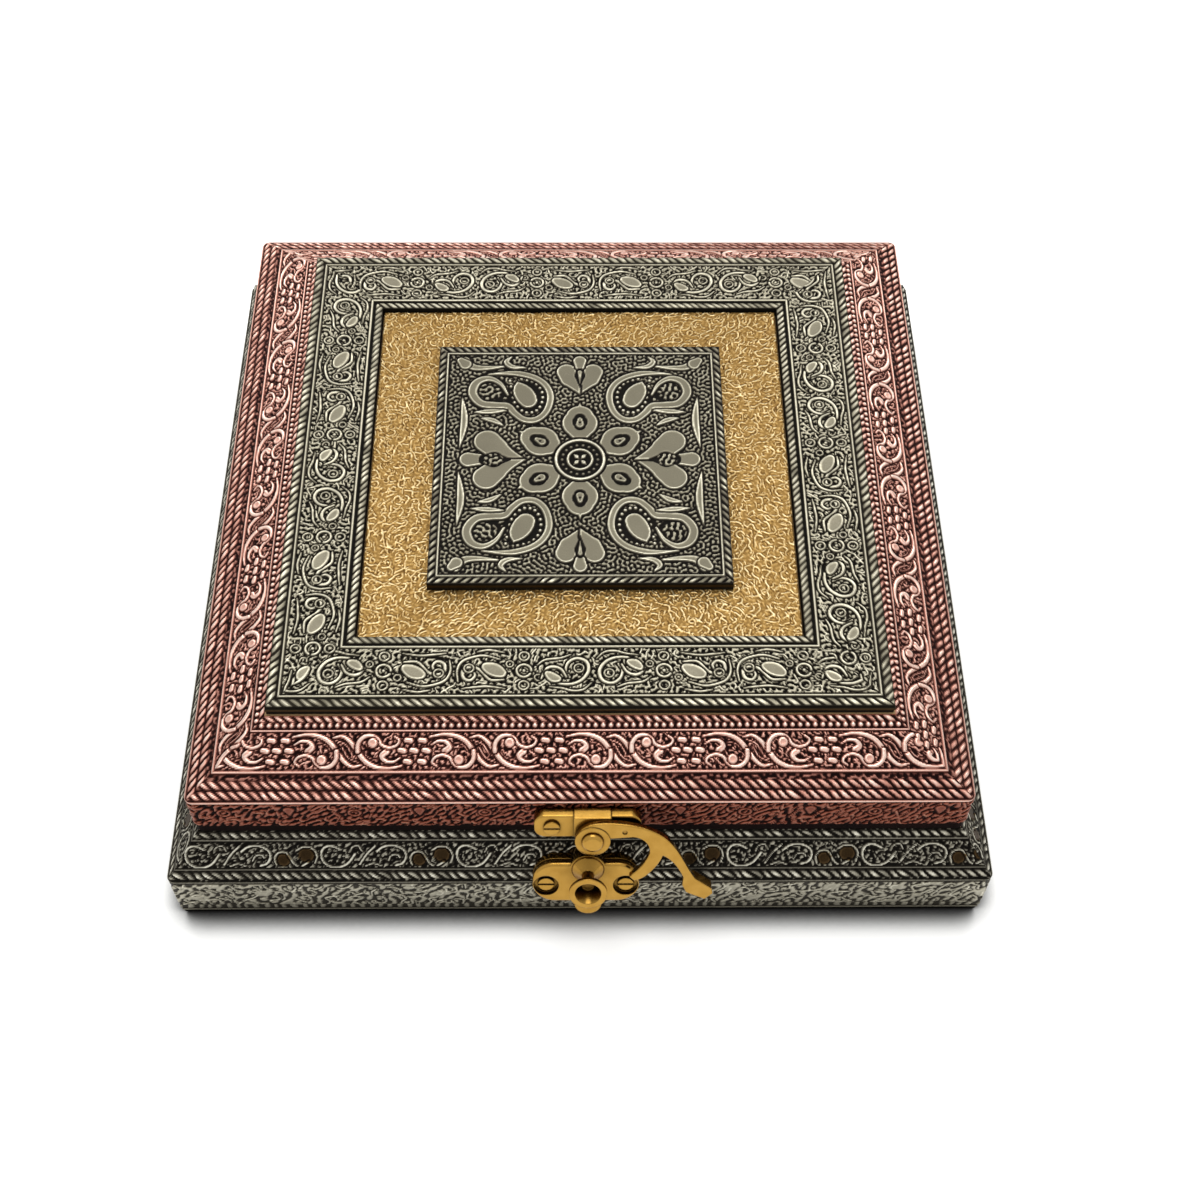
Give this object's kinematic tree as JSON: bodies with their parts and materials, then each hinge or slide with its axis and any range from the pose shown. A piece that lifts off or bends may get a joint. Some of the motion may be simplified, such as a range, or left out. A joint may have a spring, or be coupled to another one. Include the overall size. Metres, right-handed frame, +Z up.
{
  "type": "dry fruit box",
  "caption": "Square hinged box with embossed foil over board, a stepped lid with framed tile, crossed dividers inside and a swing-hook latch in front.",
  "frame": {"origin": "middle of the underside, on the surface that the box stands on", "axes": "+Z up, -Y towards the latch at the front, +X to the right seen from the front"},
  "size_m": [0.203, 0.2123, 0.0593],
  "materials": {
    "fibreboard": "sanded raw edge",
    "copper_foil": "embossed thin foil, tinted copper pink with a dark patina in the hollows",
    "silver_foil": "embossed thin foil, antiqued with a dark patina in the hollows",
    "gold_foil": "finely embossed thin foil, satin pale gold",
    "blackened_foil": "embossed thin foil, blackened, raised parts rubbed back to pewter",
    "velvet_lining": "short-pile velvet",
    "bottom_cloth": "thin felt",
    "cast_brass": "cast and polished, darkened in the hollows",
    "hinge_brass": "rolled sheet, satin",
    "hinge_steel": "plated wire, satin"
  },
  "bodies": {
    "base": {"bottom_cover": "bottom_cloth", "base_floor_panel": "fibreboard", "base_rail_front": "fibreboard", "base_rail_right": "fibreboard", "base_rail_back": "fibreboard", "base_rail_left": "fibreboard", "base_foil_front": "silver_foil", "base_foil_right": "silver_foil", "base_foil_back": "silver_foil", "base_foil_left": "silver_foil", "base_floor_lining": "velvet_lining", "base_wall_lining": "velvet_lining", "divider_lengthwise": "velvet_lining", "divider_crosswise": "velvet_lining", "hinge_left_base_leaf": "hinge_brass", "hinge_right_base_leaf": "hinge_brass", "hinge_left_pin": "hinge_steel", "hinge_right_pin": "hinge_steel", "hinge_base_screws": "hinge_steel", "catch_plate": "cast_brass", "catch_post": "cast_brass", "catch_plate_screws": "cast_brass"},
    "lid": {"lid_wall_front": "fibreboard", "lid_wall_right": "fibreboard", "lid_wall_back": "fibreboard", "lid_wall_left": "fibreboard", "lid_moulding_front": "fibreboard", "lid_moulding_right": "fibreboard", "lid_moulding_back": "fibreboard", "lid_moulding_left": "fibreboard", "lid_foil_front": "copper_foil", "lid_foil_right": "copper_foil", "lid_foil_back": "copper_foil", "lid_foil_left": "copper_foil", "frame_strip_front": "fibreboard", "frame_strip_right": "fibreboard", "frame_strip_back": "fibreboard", "frame_strip_left": "fibreboard", "frame_foil_front": "silver_foil", "frame_foil_right": "silver_foil", "frame_foil_back": "silver_foil", "frame_foil_left": "silver_foil", "lid_board": "fibreboard", "lid_deck": "fibreboard", "gold_board": "fibreboard", "gold_panel": "gold_foil", "tile_block": "fibreboard", "tile_foil": "blackened_foil", "lid_ceiling_lining": "velvet_lining", "lid_wall_lining": "velvet_lining", "hinge_left_lid_leaf": "hinge_brass", "hinge_right_lid_leaf": "hinge_brass", "hinge_lid_screws": "hinge_steel", "hook_plate": "cast_brass", "hook_plate_screws": "cast_brass", "hook_rivet": "cast_brass"},
    "hook": {"hook_arm": "cast_brass"}
  },
  "joints": [
    {"name": "lid_hinge", "type": "hinge", "parent": "base", "child": "lid", "pos_m": [0, 0.0953, 0.0305], "axis": [-1, 0, 0], "range_deg": [0, 155]},
    {"name": "hook_pivot", "type": "hinge", "parent": "lid", "child": "hook", "pos_m": [0.0028, -0.09935, 0.038], "axis": [0, 0.9272, -0.3746], "range_deg": [-110, 78]}
  ]
}
